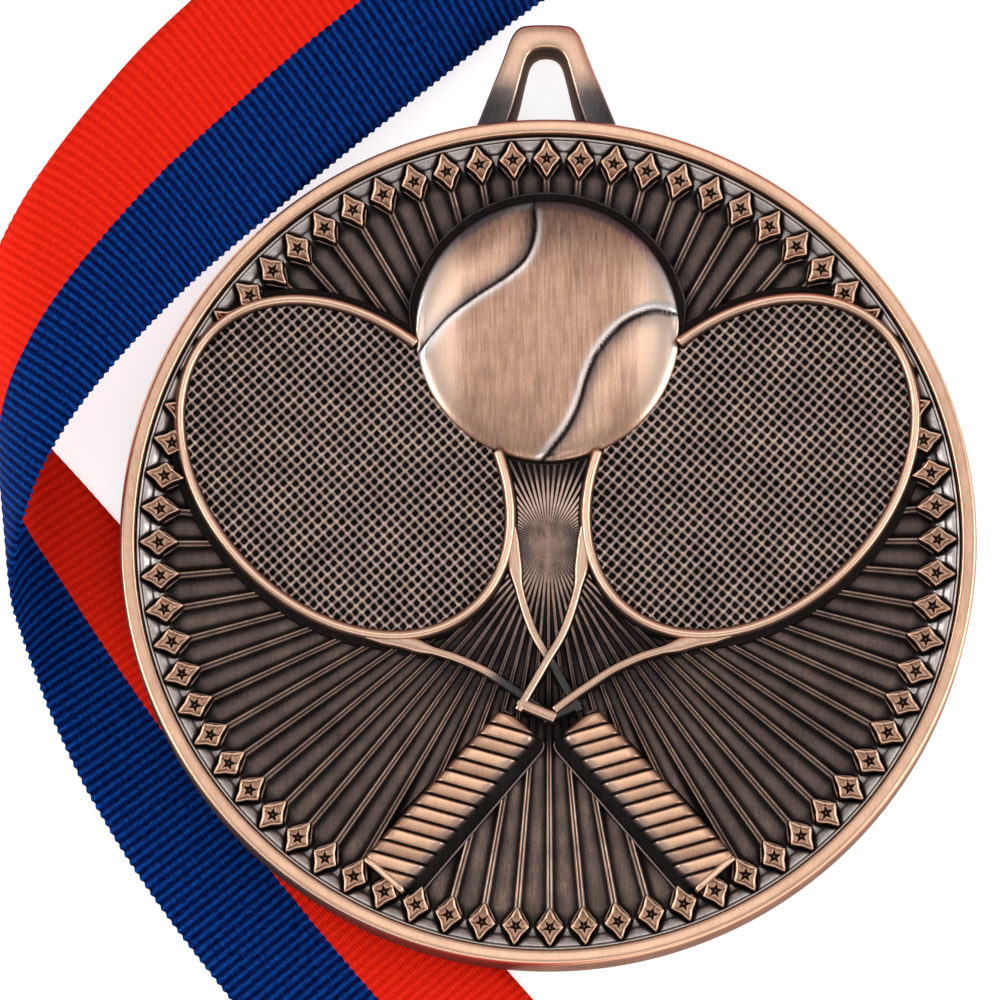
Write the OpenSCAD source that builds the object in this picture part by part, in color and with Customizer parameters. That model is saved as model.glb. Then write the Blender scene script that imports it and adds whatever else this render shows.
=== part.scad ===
// Finisher medal for a tennis event: a cast disc with raised rim and hanger loop, and a
// two-colour neck ribbon that lies loose beside it.
// The medal lies face up. +Y points to the hanger loop, +Z up, z = 0 is the table.

/* [Medal disc] */
// Outer diameter of the medal
medal_d = 70; // [56:1:90]
// Height of the medal's edge
edge_t = 5.2; // [4.4:0.1:7]
// Height of the relief field above the back
field_t = 2.8; // [2:0.1:3.6]
// Width of the plain raised rim
rim_w = 1.25; // [1:0.05:2.5]
// Chamfer on the rim's outer corners
rim_chamfer = 0.35; // [0.1:0.05:0.5]
// Width of the thin bead inside the rim
bead_w = 0.3; // [0.2:0.05:0.8]
// Height of the bead above the field
bead_h = 1.7; // [0.8:0.1:2]
// Diameter of the shallow seat in the back
seat_d = 48; // [30:1:48]
// Depth of the seat in the back
seat_depth = 0.3; // [0.2:0.05:0.8]

/* [Hanger loop] */
// Width of the loop where it leaves the rim
loop_base_w = 11.3; // [9:0.1:14]
// Width across the loop's top
loop_top_w = 4.7; // [3.6:0.1:7]
// Reach of the loop beyond the rim
loop_reach = 8.1; // [6.5:0.1:11]
// Width of the metal around the loop's hole
loop_bar = 2.3; // [1.6:0.1:2.6]
// Thickness of the loop
loop_t = 3.2; // [2:0.1:4]

/* [Rays and stars] */
// Number of rays and lozenges around the disc
ray_count = 72; // [36:12:72]
// Width of a ray beside its lozenge
ray_w = 0.5; // [0.3:0.05:0.7]
// Width of a ray at the centre boss
ray_tip_w = 0.26; // [0.15:0.01:0.3]
// Height of the rays above the field
ray_h = 0.7; // [0.4:0.05:1.2]
// Radius of the smooth boss that the rays meet
boss_r = 3.5; // [3.4:0.1:6]
// Height of a lozenge, measured along its ray
lozenge_l = 3.2; // [2:0.1:4.5]
// Width of a lozenge across its ray
lozenge_w = 2.2; // [1:0.1:2.4]
// Height of the lozenges above the field
lozenge_h = 1.6; // [0.8:0.1:2.2]

/* [Tennis ball] */
// Radius of the ball
ball_r = 10.85; // [8:0.1:12]
// Distance of the ball's centre above the medal's centre
ball_y = 17.5; // [16:0.1:19]
// Height of the ball's upright edge above the field
ball_wall = 1.1; // [0.6:0.1:1.6]
// Rise of the ball's dome above its edge
ball_dome = 1.5; // [0.8:0.1:2.2]

/* [Rackets] */
// Half length of a racket head
head_a = 16.2; // [12:0.1:16.5]
// Half width of a racket head
head_b = 12; // [9:0.1:12.4]
// Sideways distance of a head's throat end from the medal's centre line
head_end_x = 5.78; // [5.5:0.01:7]
// Distance of a head's throat end below the medal's centre
head_end_y = 5.86; // [5:0.01:6.5]
// Lean of a head's long axis from upright
head_lean = 42; // [38:1:46]
// Width of the hoop around a head
hoop_w = 1; // [0.7:0.05:1.6]
// Height of the hoop above the field
hoop_h = 1.8; // [1:0.1:2.4]
// Height of the string bed above the field
string_h = 0.9; // [0.4:0.1:1.4]
// Width of a throat arm
arm_w = 0.9; // [0.6:0.05:1.3]
// Height of the lower racket's throat above the field
arm_low_h = 1.2; // [0.8:0.1:1.6]
// Height of the upper racket's throat above the field
arm_high_h = 1.8; // [1.2:0.1:2.3]
// Length of a grip
grip_l = 16.6; // [12:0.1:17.5]
// Width of a grip at the throat
grip_w = 3.7; // [2.6:0.1:4]
// Width of a grip at the butt
butt_w = 4.3; // [3:0.1:4.8]
// Height of a grip above the field
grip_h = 2.1; // [1.2:0.1:2.4]
// Thickness of the butt cap along the grip
cap_l = 0.7; // [0.4:0.1:1]

/* [Ribbon] */
// Width of the woven ribbon
ribbon_w = 20; // [18:0.5:22]
// Thickness of the woven ribbon
ribbon_t = 0.5; // [0.3:0.05:0.6]
// Distance between two turns of the rolled end
roll_pitch = 1.1; // [0.8:0.05:1.4]
// Outer radius of the rolled end
roll_r = 15.4; // [12:0.1:17]
// Turns in the rolled end
roll_turns = 9; // [6:1:9]

/* [Hidden] */

medal_r = medal_d / 2;
rim_in_r = medal_r - rim_w;            // the rim's inner wall
bead_in_r = rim_in_r - bead_w;         // where the relief field ends
lay_gap = 0.1;                         // air between the ribbon and the medal on it
back_z = ribbon_t + lay_gap;           // the medal's back
field_z = back_z + field_t;            // the plane the relief stands on
lay_d = 70;                            // medal diameter that the ribbon's route is given for
lay_k = medal_d / lay_d;
design_r = 33.45;                      // field radius that the relief's sizes are given for
relief_k = bead_in_r / design_r;       // the design is scaled to fill the field
cut = 1;                               // how far a cutter runs past the face it opens
head_axis = 90 - head_lean;            // the heads' long axis, from +X
head_centre = [head_end_x, -head_end_y] + head_a * [cos(head_axis), sin(head_axis)];
loop_corner = 1.4;                     // rounding of the loop's two top corners
loop_root = 1;                         // how far the loop's outline runs into the rim
hole_corner = 0.7;                     // cut across the hole's top corners
hole_tip = 0.6;                        // half width of the hole at its top
ray_bite = 0.1;                        // a ray runs this far under its lozenge's tip
lozenge_bow = 0.4;                     // share of the half sizes where a lozenge's sides bow inwards

copper = "#d69a72";
dark_copper = "#5a4440";
ribbon_red = "#d2202a";

// Middle of a grip's top end and the way it points, for the racket with its head on the right
grip_top = [-2.3, -14.9];
grip_turn = -131.5;

// Middle lines of one racket's throat arms, for the racket whose head is on the right;
// they start inside the head, whose outline cuts them off
arm_upper = [[4.2, 2.6], [3, -1.3], [2, -5], [1.4, -7.3], [0, -9.9], [-1.5, -12.5], [-2, -13.3]];
arm_lower = [[13.6, -6.4], [10.2, -8.2], [5.8, -10.5], [2.5, -12.4], [0.2, -14.2], [-0.6, -15.1]];
yoke = [[-1.9, -12.9], [0.2, -14.2]];

// The ribbon's route from its cut end to its rolled end: the blue edge, then the red edge
route = [
  [[10.5, -79.9, 0.25], [25.2, -67.2, 0.25]],
  [[-4.1, -63.1, 0.25], [10.6, -50.8, 0.25]],
  [[-17.4, -47.6, 0.25], [-2.9, -35.3, 0.25]],
  [[-25.6, -37.7, 0.25], [-11.4, -25.5, 0.25]],
  [[-32.6, -28.4, 0.25], [-19.6, -15.8, 0.25]],
  [[-37.4, -20.7, 0.25], [-27, -7.2, 0.25]],
  [[-40.3, -14.8, 0.7], [-33, -0.2, 0.25]],
  [[-41.9, -10.7, 1.7], [-37.9, 5.5, 0.3]],
  [[-43, -7.5, 3.2], [-42.4, 10.4, 1.1]],
  [[-43.8, -4.6, 5.2], [-45.2, 14.4, 3.2]],
  [[-43.5, -1.4, 7.4], [-46, 18.2, 5.8]],
  [[-42.5, 2, 9.4], [-45.4, 22.2, 8.2]],
  [[-40.9, 5.6, 10.8], [-43.4, 26.3, 10.2]],
  [[-38.3, 9.7, 11.4], [-40.7, 30.5, 11.4]],
  [[-34.3, 14.9, 10.4], [-37.2, 35.1, 11.8]],
  [[-29, 21, 7.8], [-32.9, 40.1, 11.8]],
  [[-23.3, 26.5, 5.4], [-28, 45, 11.6]],
  [[-16.7, 32.3, 4], [-22.3, 50.3, 11.8]],
  [[-9.4, 38.4, 2.8], [-15.4, 55.2, 12.6]],
  [[-1.8, 44.7, 1.4], [-7, 58.9, 14.4]],
  [[5.9, 50, 0.5], [2.5, 60, 17.4]],
  [[13.4, 53.2, 0.3], [12, 58.2, 19.4]],
  [[19.8, 52.9, 0.3], [19.8, 53.1, 20.2]]];
route_w = 20;                          // ribbon width that the route is given for
route_lift = 0.25;                     // height of the route's middle layer where it lies flat
route_steps = 3;                       // rings between two route points
roll_entry = [19.8, 53] * lay_k;       // where the ribbon runs into its roll
roll_bearing = 45;                     // direction from there to the roll's middle
roll_centre = roll_entry + roll_r * [cos(roll_bearing), sin(roll_bearing)];
roll_gap = 0.05;                       // air between the run's end and the roll
roll_rise = 0.2;                       // the roll stands this much taller than the ribbon is wide
roll_in_r = roll_r - roll_turns * roll_pitch;

// ---- helpers ----

function ellipse_points(a, b, n = 72) = [for (i = [0:n - 1]) [a * cos(i * 360 / n), b * sin(i * 360 / n)]];

// A straight bar with round ends between two points
module stroke(p, q, w) {
  d = q - p;
  translate(p) {
    rotate(atan2(d[1], d[0])) translate([0, -w / 2]) square([norm(d), w]);
    circle(d = w, $fn = 12);
  }
  translate(q) circle(d = w, $fn = 12);
}

module polyline(points, w) {
  for (i = [0:len(points) - 2]) stroke(points[i], points[i + 1], w);
}

// One racket, head on the right and grip at the lower left. side = -1 mirrors it.
module on_side(side) {
  if (side > 0) children();
  else mirror([1, 0]) children();
}

module head_outline(grow) {
  translate(head_centre)
    rotate(head_axis)
      polygon(ellipse_points(head_a + grow, head_b + grow));
}

module ball_outline() {
  translate([0, ball_y]) circle(r = ball_r, $fn = 96);
}

module throat_outline() {
  difference() {
    union() {
      polyline(arm_upper, arm_w);
      polyline(arm_lower, arm_w);
      polyline(yoke, arm_w);
    }
    head_outline(0);
  }
}

// A grip runs down from its top end; it widens towards the butt
module grip_frame() {
  translate(grip_top) rotate(grip_turn) children();
}

module grip_outline() {
  grip_frame()
    polygon([[0, -grip_w / 2], [grip_l, -butt_w / 2], [grip_l, butt_w / 2], [0, grip_w / 2]]);
}

module cap_outline() {
  grip_frame() translate([grip_l, -butt_w / 2]) square([cap_l, butt_w]);
}

module racket_outline() {
  head_outline(0);
  throat_outline();
  grip_outline();
  cap_outline();
}

// Everything that stands in front of the rays
module front_outlines() {
  ball_outline();
  racket_outline();
  mirror([1, 0]) racket_outline();
}

// Relief drawn flat, scaled to the medal and raised above the field
module raise(h) {
  translate([0, 0, field_z]) linear_extrude(h) scale(relief_k) children();
}

// ---- medal ----

module medal_disc() {
  color(dark_copper)
    translate([0, 0, back_z])
      difference() {
        cylinder(r = rim_in_r, h = field_t, $fn = 180);
        translate([0, 0, -cut]) cylinder(d = seat_d, h = seat_depth + cut, $fn = 144);
      }
}

module edge_rim() {
  c = rim_chamfer;
  color(copper)
    translate([0, 0, back_z])
      rotate_extrude($fn = 180)
        polygon([[rim_in_r, 0], [medal_r - c, 0], [medal_r, c], [medal_r, edge_t - c],
                 [medal_r - c, edge_t], [rim_in_r + c, edge_t], [rim_in_r, edge_t - c]]);
}

module bead_ring() {
  color(copper)
    translate([0, 0, field_z])
      difference() {
        cylinder(r = rim_in_r, h = bead_h, $fn = 180);
        translate([0, 0, -cut]) cylinder(r = bead_in_r, h = bead_h + 2 * cut, $fn = 180);
      }
}

// The loop's outer outline: sides that draw in evenly to a top with rounded corners
module loop_outline() {
  top = medal_r + loop_reach;
  slope = (loop_base_w - loop_top_w) / 2 / loop_reach;
  root_x = loop_base_w / 2 + slope * loop_root;
  corner_x = loop_top_w / 2 + slope * loop_corner - loop_corner;
  polygon([[-root_x, medal_r - loop_root], [root_x, medal_r - loop_root],
           [corner_x + loop_corner, top - loop_corner], [corner_x, top],
           [-corner_x, top], [-corner_x - loop_corner, top - loop_corner]]);
  for (s = [-1, 1])
    translate([s * corner_x, top - loop_corner]) circle(r = loop_corner, $fn = 48);
}

// The hole keeps the bar's width on each side and at the top
module loop_hole() {
  top = medal_r + loop_reach;
  slope = (loop_base_w - loop_top_w) / 2 / loop_reach;
  foot_x = loop_base_w / 2 + slope * loop_root - loop_bar;
  shoulder_x = loop_top_w / 2 - loop_bar / 2;
  polygon([[-foot_x, medal_r - 2 * loop_root], [foot_x, medal_r - 2 * loop_root],
           [shoulder_x, top - loop_bar - hole_corner], [hole_tip, top - loop_bar],
           [-hole_tip, top - loop_bar], [-shoulder_x, top - loop_bar - hole_corner]]);
}

module hanger_loop() {
  color(copper)
    translate([0, 0, back_z + (edge_t - loop_t) / 2])
      linear_extrude(loop_t)
        difference() {
          loop_outline();
          loop_hole();
          circle(r = medal_r, $fn = 180);
        }
}

module centre_boss() {
  color(dark_copper)
    raise(ray_h)
      difference() {
        circle(r = boss_r, $fn = 72);
        front_outlines();
      }
}

module ray_ribs() {
  far = design_r - lozenge_l + ray_bite;
  color(dark_copper)
    raise(ray_h)
      difference() {
        for (i = [0:ray_count - 1])
          rotate(i * 360 / ray_count)
            polygon([[boss_r, -ray_tip_w / 2], [far, -ray_w / 2],
                     [far, ray_w / 2], [boss_r, ray_tip_w / 2]]);
        front_outlines();
        circle(r = boss_r, $fn = 72);
        lozenge_outlines();
      }
}

// Four tips joined by sides that bow inwards
module lozenge_outline() {
  a = lozenge_l / 2;
  b = lozenge_w / 2;
  bow = lozenge_bow;
  polygon([[a, 0], [a * bow, b * bow], [0, b], [-a * bow, b * bow],
           [-a, 0], [-a * bow, -b * bow], [0, -b], [a * bow, -b * bow]]);
}

module lozenge_outlines() {
  for (i = [0:ray_count - 1])
    rotate(i * 360 / ray_count) translate([design_r - lozenge_l / 2, 0]) lozenge_outline();
}

module star_lozenges() {
  color(copper)
    raise(lozenge_h)
      difference() {
        lozenge_outlines();
        front_outlines();
      }
}

module tennis_ball() {
  r = ball_r * relief_k;
  sphere_r = (r * r + ball_dome * ball_dome) / (2 * ball_dome);
  color(copper)
    translate([0, ball_y * relief_k, field_z])
      rotate_extrude($fn = 96)
        polygon(concat([[0, 0], [r, 0]],
                       [for (i = [0:8])
                         let (x = r * cos(i * 90 / 8))
                         [x, ball_wall + sqrt(sphere_r * sphere_r - x * x) - sphere_r + ball_dome]]));
}

module hoop(side) {
  color(copper)
    raise(hoop_h)
      on_side(side)
        difference() {
          head_outline(0);
          head_outline(-hoop_w);
          ball_outline();
        }
}

module string_bed(side) {
  color(dark_copper)
    raise(string_h)
      on_side(side)
        difference() {
          head_outline(-hoop_w);
          ball_outline();
        }
}

module left_hoop() { hoop(-1); }
module right_hoop() { hoop(1); }
module left_string_bed() { string_bed(-1); }
module right_string_bed() { string_bed(1); }

// The racket with its head on the right lies on top of the other one
module right_throat() {
  color(copper)
    raise(arm_high_h)
      difference() {
        throat_outline();
        grip_outline();
        mirror([1, 0]) grip_outline();
      }
}

module left_throat() {
  color(copper)
    raise(arm_low_h)
      difference() {
        mirror([1, 0]) throat_outline();
        throat_outline();
        grip_outline();
        mirror([1, 0]) grip_outline();
      }
}

module grip(side) {
  color(copper)
    raise(grip_h)
      on_side(side) grip_outline();
}

module butt_cap(side) {
  color(copper)
    raise(grip_h)
      on_side(side) cap_outline();
}

module left_grip() { grip(1); }
module right_grip() { grip(-1); }
module left_butt_cap() { butt_cap(1); }
module right_butt_cap() { butt_cap(-1); }

// ---- ribbon ----

// One point of a smooth curve through four neighbouring points, t from 0 to 1 between b and c
function smooth(a, b, c, d, t) =
  0.5 * (2 * b + (c - a) * t + (2 * a - 5 * b + 4 * c - d) * t * t
         + (3 * b - a - 3 * c + d) * t * t * t);

function route_point(i, e) =
  i < 0 ? 2 * route[0][e] - route[1][e]
  : i >= len(route) ? 2 * route[len(route) - 1][e] - route[len(route) - 2][e]
  : route[i][e];

function edge_point(k, e) =
  let (i = min(floor(k / route_steps), len(route) - 2), t = k / route_steps - i)
  let (p = smooth(route_point(i - 1, e), route_point(i, e), route_point(i + 1, e), route_point(i + 2, e), t))
  [p[0] * lay_k, p[1] * lay_k, p[2]];

ring_count = (len(route) - 1) * route_steps + 1;
blue_edge = [for (k = [0:ring_count - 1]) edge_point(k, 0)];
red_edge = [for (k = [0:ring_count - 1]) edge_point(k, 1)];
middle = [for (k = [0:ring_count - 1]) (blue_edge[k] + red_edge[k]) / 2];

function unit(v) = v / norm(v);
function heading(k) = unit(middle[min(k + 1, ring_count - 1)] - middle[max(k - 1, 0)]);
function across(k) = unit(blue_edge[k] - red_edge[k]);
function face_dir(k) = unit(cross(heading(k), across(k)));

// Both edges are moved so that the ribbon keeps its own width and stays on the table
widen = (ribbon_w - route_w) / 2;
function ring(k) =
  let (n = face_dir(k) * ribbon_t / 2, w = across(k) * widen)
  let (lift = [0, 0, ribbon_t / 2 - route_lift])
  [blue_edge[k] + w - n + lift, red_edge[k] - w - n + lift,
   red_edge[k] - w + n + lift, blue_edge[k] + w + n + lift];

module ribbon_run() {
  last = 4 * (ring_count - 1);
  color(ribbon_red)
    polyhedron(
      points = [for (k = [0:ring_count - 1]) each ring(k)],
      faces = concat(
        [[0, 1, 2, 3], [last + 3, last + 2, last + 1, last]],
        [for (k = [0:ring_count - 2]) each [for (j = [0:3])
          let (a = 4 * k + j, b = 4 * k + (j + 1) % 4) each [[a, a + 4, b], [b, a + 4, b + 4]]]]));
}

module ribbon_roll() {
  wall_r = roll_r - ribbon_t / 2 - roll_gap;
  color(ribbon_red)
    translate([roll_centre[0], roll_centre[1], 0])
      difference() {
        cylinder(r = wall_r, h = ribbon_w + roll_rise, $fn = 96);
        translate([0, 0, -cut]) cylinder(r = roll_in_r, h = ribbon_w + roll_rise + 2 * cut, $fn = 72);
      }
}

medal_disc();
edge_rim();
bead_ring();
hanger_loop();
centre_boss();
ray_ribs();
star_lozenges();
tennis_ball();
left_hoop();
right_hoop();
left_string_bed();
right_string_bed();
left_throat();
right_throat();
left_grip();
right_grip();
left_butt_cap();
right_butt_cap();
ribbon_run();
ribbon_roll();
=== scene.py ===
import math

import bpy
import numpy as np
from mathutils import Matrix, Vector


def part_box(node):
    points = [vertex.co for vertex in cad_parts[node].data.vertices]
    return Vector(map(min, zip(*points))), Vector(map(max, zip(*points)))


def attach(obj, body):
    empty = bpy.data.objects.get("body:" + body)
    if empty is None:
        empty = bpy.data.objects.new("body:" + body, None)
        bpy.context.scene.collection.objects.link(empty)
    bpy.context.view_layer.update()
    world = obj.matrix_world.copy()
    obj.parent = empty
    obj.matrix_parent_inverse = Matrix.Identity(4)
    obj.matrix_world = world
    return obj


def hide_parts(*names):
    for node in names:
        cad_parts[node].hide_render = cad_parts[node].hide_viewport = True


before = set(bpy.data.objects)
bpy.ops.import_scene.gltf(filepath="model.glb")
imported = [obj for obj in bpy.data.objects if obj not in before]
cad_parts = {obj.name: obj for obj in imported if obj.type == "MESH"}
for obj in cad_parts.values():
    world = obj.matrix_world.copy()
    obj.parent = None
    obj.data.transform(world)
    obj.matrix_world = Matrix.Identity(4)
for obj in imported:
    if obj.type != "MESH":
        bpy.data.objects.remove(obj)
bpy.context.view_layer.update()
scene = bpy.context.scene
scene.view_settings.view_transform = "Standard"
mm = 0.001

# The camera comes first: it looks down on the medal, a little from its lower side
view = {
    "aim": (-0.00393, 0.00418, 0.0),  # point in the middle of the frame
    "elevation": 80.5,                # degrees above the table
    "distance": 0.9,
    "fieldWidth": 0.0822,             # width seen at the aim point
    "roll": -0.2,                     # degrees
    "sensor": 36.0,
}


def placeCamera(look):
    # eye = aim + distance (0, -cos e, sin e); lens = sensor width x distance / field width
    data = bpy.data.cameras.new("medalCamera")
    data.sensor_width = look["sensor"]
    data.lens = look["sensor"] * look["distance"] / look["fieldWidth"]
    data.clip_start = 0.01
    data.clip_end = 20.0
    camera = bpy.data.objects.new("medalCamera", data)
    scene.collection.objects.link(camera)
    tilt = math.radians(look["elevation"])
    aim = Vector(look["aim"])
    back = Vector((0.0, -math.cos(tilt), math.sin(tilt)))
    turn = Matrix.Rotation(math.radians(90.0 - look["elevation"]), 4, "X")
    turn = turn @ Matrix.Rotation(math.radians(look["roll"]), 4, "Z")
    camera.matrix_world = Matrix.Translation(aim + back * look["distance"]) @ turn
    scene.camera = camera


placeCamera(view)
print("camera placed")

# Four soft boxes round the medal, and a plain sky
light = {
    "sky": 0.50,
    "skyTint": (1.0, 1.0, 1.0),
    # name, centre, size, watts: every lamp faces the medal
    "lamps": [
        ("overheadLamp", (0.0, 0.3, 1.5), (1.5, 1.1), 4.4),
        ("leftLamp", (-0.95, 0.0, 0.36), (0.9, 0.5), 5.2),
        ("rightLamp", (0.95, -0.1, 0.36), (0.9, 0.5), 5.2),
        ("frontLamp", (0.0, -1.0, 0.5), (0.9, 0.4), 1.6),
    ],
}


def hangLamp(name, centre, size, watts):
    # a rectangle of light turned so that its -Z looks at the medal
    data = bpy.data.lights.new(name, "AREA")
    data.shape = "RECTANGLE"
    data.size, data.size_y = size
    data.energy = watts
    lamp = bpy.data.objects.new(name, data)
    lamp.location = centre
    lamp.rotation_euler = Vector(centre).to_track_quat("Z", "Y").to_euler()
    scene.collection.objects.link(lamp)


def setSky(strength, tint):
    world = bpy.data.worlds.new("studio")
    world.use_nodes = True
    sky = world.node_tree.nodes["Background"]
    sky.inputs["Color"].default_value = (*tint, 1.0)
    sky.inputs["Strength"].default_value = strength
    scene.world = world


setSky(light["sky"], light["skyTint"])
for lampFacts in light["lamps"]:
    hangLamp(*lampFacts)


def newNode(tree, kind, **settings):
    node = tree.nodes.new(kind)
    for key, value in settings.items():
        setattr(node, key, value)
    return node


def freshMaterial(name):
    material = bpy.data.materials.new(name)
    material.use_nodes = True
    tree = material.node_tree
    return material, tree, tree.nodes["Principled BSDF"]


def mathNode(tree, operation, first, second=None, clamp=False):
    node = newNode(tree, "ShaderNodeMath", operation=operation, use_clamp=clamp)
    for socket, value in zip(node.inputs, (first, second)):
        if value is None:
            continue
        if isinstance(value, (int, float)):
            socket.default_value = value
        else:
            tree.links.new(value, socket)
    return node.outputs[0]


def rampNode(tree, factor, stops):
    node = newNode(tree, "ShaderNodeValToRGB")
    ramp = node.color_ramp
    ramp.elements[0].position = stops[0][0]
    ramp.elements[1].position = stops[-1][0]
    ramp.elements[0].color = (*stops[0][1], 1.0)
    ramp.elements[1].color = (*stops[-1][1], 1.0)
    for place, colour in stops[1:-1]:
        ramp.elements.new(place).color = (*colour, 1.0)
    tree.links.new(factor, node.inputs[0])
    return node.outputs["Color"]


def weightedSum(tree, start, *terms, clamp=False):
    # start + value x weight for each term
    total = start
    for k, (value, weight) in enumerate(terms):
        part = mathNode(tree, "MULTIPLY", value, weight)
        total = mathNode(tree, "ADD", total, part, clamp and k == len(terms) - 1)
    return total


def noiseNode(tree, place, scale, detail, rough=0.5):
    # noise from -0.5 to 0.5 at place x scale
    mapping = newNode(tree, "ShaderNodeMapping")
    mapping.inputs["Scale"].default_value = scale
    tree.links.new(place, mapping.inputs["Vector"])
    noise = newNode(tree, "ShaderNodeTexNoise")
    for key, value in (("Scale", 1.0), ("Detail", detail), ("Roughness", rough)):
        noise.inputs[key].default_value = value
    tree.links.new(mapping.outputs[0], noise.inputs["Vector"])
    return mathNode(tree, "SUBTRACT", noise.outputs["Fac"], 0.5)


def mixColours(tree, share, low, high, target):
    mix = newNode(tree, "ShaderNodeMix", data_type="RGBA")
    for socket, source in ((mix.inputs["Factor"], share), (mix.inputs[6], low), (mix.inputs[7], high)):
        tree.links.new(source, socket)
    tree.links.new(mix.outputs[2], target)


def addBump(tree, shader, height, strength, distance):
    bump = newNode(tree, "ShaderNodeBump")
    bump.inputs["Strength"].default_value = strength
    bump.inputs["Distance"].default_value = distance
    tree.links.new(height, bump.inputs["Height"])
    tree.links.new(bump.outputs[0], shader.inputs["Normal"])


def gridFaces(rows, cols, wrapRows=False, wrapCols=False, start=0):
    # face (i, j) joins (i, j), (i, j+1), (i+1, j+1), (i+1, j); a wrapped way joins last to first
    i = np.arange(rows if wrapRows else rows - 1)[:, None]
    j = np.arange(cols if wrapCols else cols - 1)[None, :]
    below = (i + 1) % rows
    beside = (j + 1) % cols
    corners = [i * cols + j, i * cols + beside, below * cols + beside, below * cols + j]
    return np.stack(corners, axis=-1).reshape(-1, 4) + start


def fanFaces(ring, tip):
    # triangles from each step of a ring of point numbers to one tip point
    ring = np.asarray(ring)
    return np.stack([ring, np.roll(ring, -1), np.full(len(ring), tip)], axis=-1)


def endFans(rows, cols, start=0):
    # fans from the first and the last row of a grid to the two tip points that follow it
    first, tip = start + np.arange(cols), start + rows * cols
    return np.vstack([fanFaces(first[::-1], tip), fanFaces(first + (rows - 1) * cols, tip + 1)])


def circleAngles(count):
    return np.arange(count) * 2 * math.pi / count


def polar(r, angle):
    # flat points: r cos, r sin
    return np.stack(np.broadcast_arrays(r * np.cos(angle), r * np.sin(angle)), axis=-1)


def lifted(flat, z):
    # flat points with their heights
    return np.concatenate([flat, z[..., None]], axis=-1)


def putMesh(name, points, quads, tris, material, tints, uv=None, closed=True, sharp=None):
    # points in millimetres; faces are turned so that the volume is positive, or on an open mesh so that
    # the normals point up on the whole
    points = np.asarray(points, dtype=float)
    quads = np.asarray(quads, dtype=np.int64).reshape(-1, 4)
    tris = np.asarray(tris, dtype=np.int64).reshape(-1, 3)
    every = np.vstack([quads[:, [0, 1, 2]], quads[:, [0, 2, 3]], tris])
    a, b, c = points[every[:, 0]], points[every[:, 1]], points[every[:, 2]]
    if closed:
        facing = np.einsum("ij,ij->i", a, np.cross(b, c)).sum()
    else:
        facing = np.cross(b - a, c - a)[:, 2].sum()
    if facing < 0:
        quads = quads[:, ::-1]
        tris = tris[:, ::-1]
    loops = np.concatenate([quads.ravel(), tris.ravel()]).astype(np.int32)
    starts = np.concatenate([np.arange(len(quads)) * 4, len(quads) * 4 + np.arange(len(tris)) * 3])
    mesh = bpy.data.meshes.new(name)
    mesh.vertices.add(len(points))
    mesh.vertices.foreach_set("co", (points * mm).astype(np.float32).ravel())
    mesh.loops.add(len(loops))
    mesh.loops.foreach_set("vertex_index", loops)
    mesh.polygons.add(len(starts))
    mesh.polygons.foreach_set("loop_start", starts.astype(np.int32))
    mesh.update(calc_edges=True)
    mesh.validate()
    for key, values in tints.items():
        layer = mesh.attributes.new(key, "FLOAT", "POINT")
        layer.data.foreach_set("value", np.asarray(values, dtype=np.float32).ravel())
    if uv is not None:
        layer = mesh.uv_layers.new(name="weave")
        layer.data.foreach_set("uv", np.asarray(uv, dtype=np.float32)[loops].ravel())
    mesh.shade_smooth()
    if sharp is not None:
        mesh.set_sharp_from_angle(angle=math.radians(sharp))
    mesh.materials.append(material)
    piece = bpy.data.objects.new(name, mesh)
    scene.collection.objects.link(piece)
    return piece


def smoothStep(low, high, x):
    # 3t^2 - 2t^3 of the share t of the way from low to high
    t = np.clip((x - low) / (high - low), 0.0, 1.0)
    return t * t * (3.0 - 2.0 * t)


def bell(x, width):
    # exp(-(x / width)^2)
    return np.exp(-(x / width) ** 2)


def curveThrough(points, steps):
    # Catmull-Rom: a cubic between two points, whose slope at each is half the step between its neighbours
    p = np.asarray(points, dtype=float)
    p = np.concatenate([[2 * p[0] - p[1]], p, [2 * p[-1] - p[-2]]])
    span = np.linspace(0, len(p) - 3, steps)
    k = np.minimum(span.astype(int), len(p) - 4)
    t = (span - k).reshape((-1,) + (1,) * (p.ndim - 1))
    a, b, c, d = p[k], p[k + 1], p[k + 2], p[k + 3]
    square = (2 * a - 5 * b + 4 * c - d) * t ** 2
    return 0.5 * (2 * b + (c - a) * t + square + (3 * b - a - 3 * c + d) * t ** 3)


def evenPath(path, count):
    # points at equal lengths along a path
    length = np.concatenate([[0], np.cumsum(np.linalg.norm(np.diff(path, axis=0), axis=1))])
    want = np.linspace(0, length[-1], count)
    return np.stack([np.interp(want, length, path[:, k]) for k in range(path.shape[1])], axis=-1)


def sideways(path):
    # unit normals of a flat path: its direction turned a quarter to the right
    ahead = np.gradient(path, axis=0)
    ahead /= np.linalg.norm(ahead, axis=1)[:, None]
    return np.stack([ahead[:, 1], -ahead[:, 0]], axis=-1)


def sweepProfile(path, profile, widths=1.0, heights=1.0, base=0.0):
    # point (i, k) = path point i + profile sideways k x width i, at base + profile height k x height i
    side = sideways(path)
    widths = np.broadcast_to(widths, len(path))[:, None, None]
    heights = np.broadcast_to(heights, len(path))[:, None]
    flat = path[:, None, :] + side[:, None, :] * profile[None, :, 0, None] * widths
    return lifted(flat, base + profile[None, :, 1] * heights)


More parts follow.
